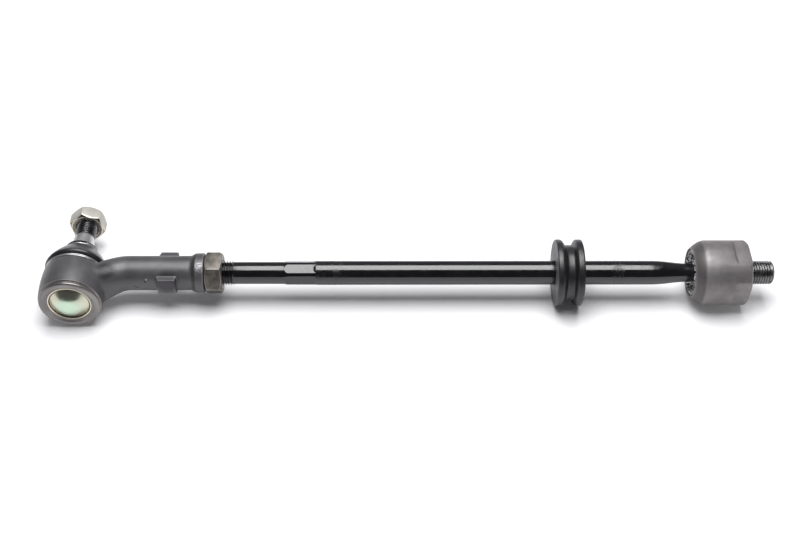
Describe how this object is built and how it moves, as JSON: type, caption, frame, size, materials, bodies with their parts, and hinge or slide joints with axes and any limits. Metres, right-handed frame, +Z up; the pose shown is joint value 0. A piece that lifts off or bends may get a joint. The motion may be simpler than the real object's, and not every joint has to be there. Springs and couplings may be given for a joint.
{
  "type": "steering tie rod",
  "caption": "Steering tie rod: cranked outer ball joint with rubber boot and tapered stud, threaded adjuster with lock nut, rod with spanner hexagon, rubber bellows ring and inner axial joint.",
  "frame": {"origin": "centre of the bounding box's base, on the table that the part lies on", "axes": "+X along the rod from the outer joint to the inner one, +Y the way the tapered stud points, +Z up"},
  "size_m": [0.4232, 0.0786, 0.0388],
  "materials": {
    "forged_grey": "dark phosphated forging",
    "rod_black": "gloss black coated steel",
    "cup_steel": "grey turned and phosphated steel",
    "olive_zinc": "olive zinc plated steel",
    "yellow_zinc": "yellow passivated zinc plate",
    "bright_steel": "bright ground steel",
    "boot_rubber": "moulded satin black rubber",
    "ring_rubber": "moulded matt black rubber",
    "seat_plastic": "greased black acetal",
    "pale_plastic": "natural acetal"
  },
  "bodies": {
    "tie_rod": {"tie_rod": "rod_black"},
    "jam_nut": {"jam_nut": "olive_zinc"},
    "rod_end_housing": {"rod_end_housing": "forged_grey", "cover_plate": "yellow_zinc", "boot_lower_ring": "bright_steel"},
    "outer_ball_seat": {"outer_ball_seat": "pale_plastic", "dust_boot": "boot_rubber"},
    "boot_upper_ring": {"boot_upper_ring": "bright_steel"},
    "ball_stud": {"ball_stud": "bright_steel", "stud_nut": "yellow_zinc"},
    "boot_seat_ring": {"boot_seat_ring": "ring_rubber"},
    "inner_rear_seat": {"inner_rear_seat": "pale_plastic"},
    "inner_front_seat": {"inner_front_seat": "seat_plastic"},
    "inner_housing": {"inner_housing": "cup_steel"}
  },
  "joints": [
    {"name": "length_travel", "type": "slide", "parent": "tie_rod", "child": "jam_nut", "axis": [1, 0, 0], "range_m": [-0.0061, 0.0061]},
    {"name": "length_turn", "type": "hinge", "parent": "jam_nut", "child": "rod_end_housing", "pos_m": [-0.19315, -0.01165, 0.0194], "axis": [1, 0, 0], "range_deg": [-1440, 1440]},
    {"name": "outer_seat_turn", "type": "hinge", "parent": "rod_end_housing", "child": "outer_ball_seat", "pos_m": [-0.19315, -0.02365, 0.0185], "axis": [0, 1, 0], "continuous": true},
    {"name": "stud_swing", "type": "hinge", "parent": "outer_ball_seat", "child": "boot_upper_ring", "pos_m": [-0.19315, -0.02365, 0.0185], "axis": [1, 0, 0], "range_deg": [-22, 22], "deforming": ["dust_boot"]},
    {"name": "stud_spin", "type": "hinge", "parent": "boot_upper_ring", "child": "ball_stud", "pos_m": [-0.19315, -0.02365, 0.0185], "axis": [0, 1, 0], "continuous": true},
    {"name": "inner_tilt_y", "type": "hinge", "parent": "tie_rod", "child": "inner_rear_seat", "pos_m": [0.17585, -0.01165, 0.0194], "axis": [0, 1, 0], "range_deg": [-17, 17]},
    {"name": "inner_tilt_z", "type": "hinge", "parent": "inner_rear_seat", "child": "inner_front_seat", "pos_m": [0.17585, -0.01165, 0.0194], "axis": [0, 0, 1], "range_deg": [-17, 17]},
    {"name": "inner_spin", "type": "hinge", "parent": "inner_front_seat", "child": "inner_housing", "pos_m": [0.17585, -0.01165, 0.0194], "axis": [1, 0, 0], "continuous": true},
    {"name": "ring_turn", "type": "hinge", "parent": "tie_rod", "child": "boot_seat_ring", "pos_m": [0.0918, -0.01165, 0.0194], "axis": [1, 0, 0], "continuous": true}
  ],
  "couplings": [
    {"joint": "length_travel", "follows": "length_turn", "m_per_rad": 0.00023873}
  ]
}
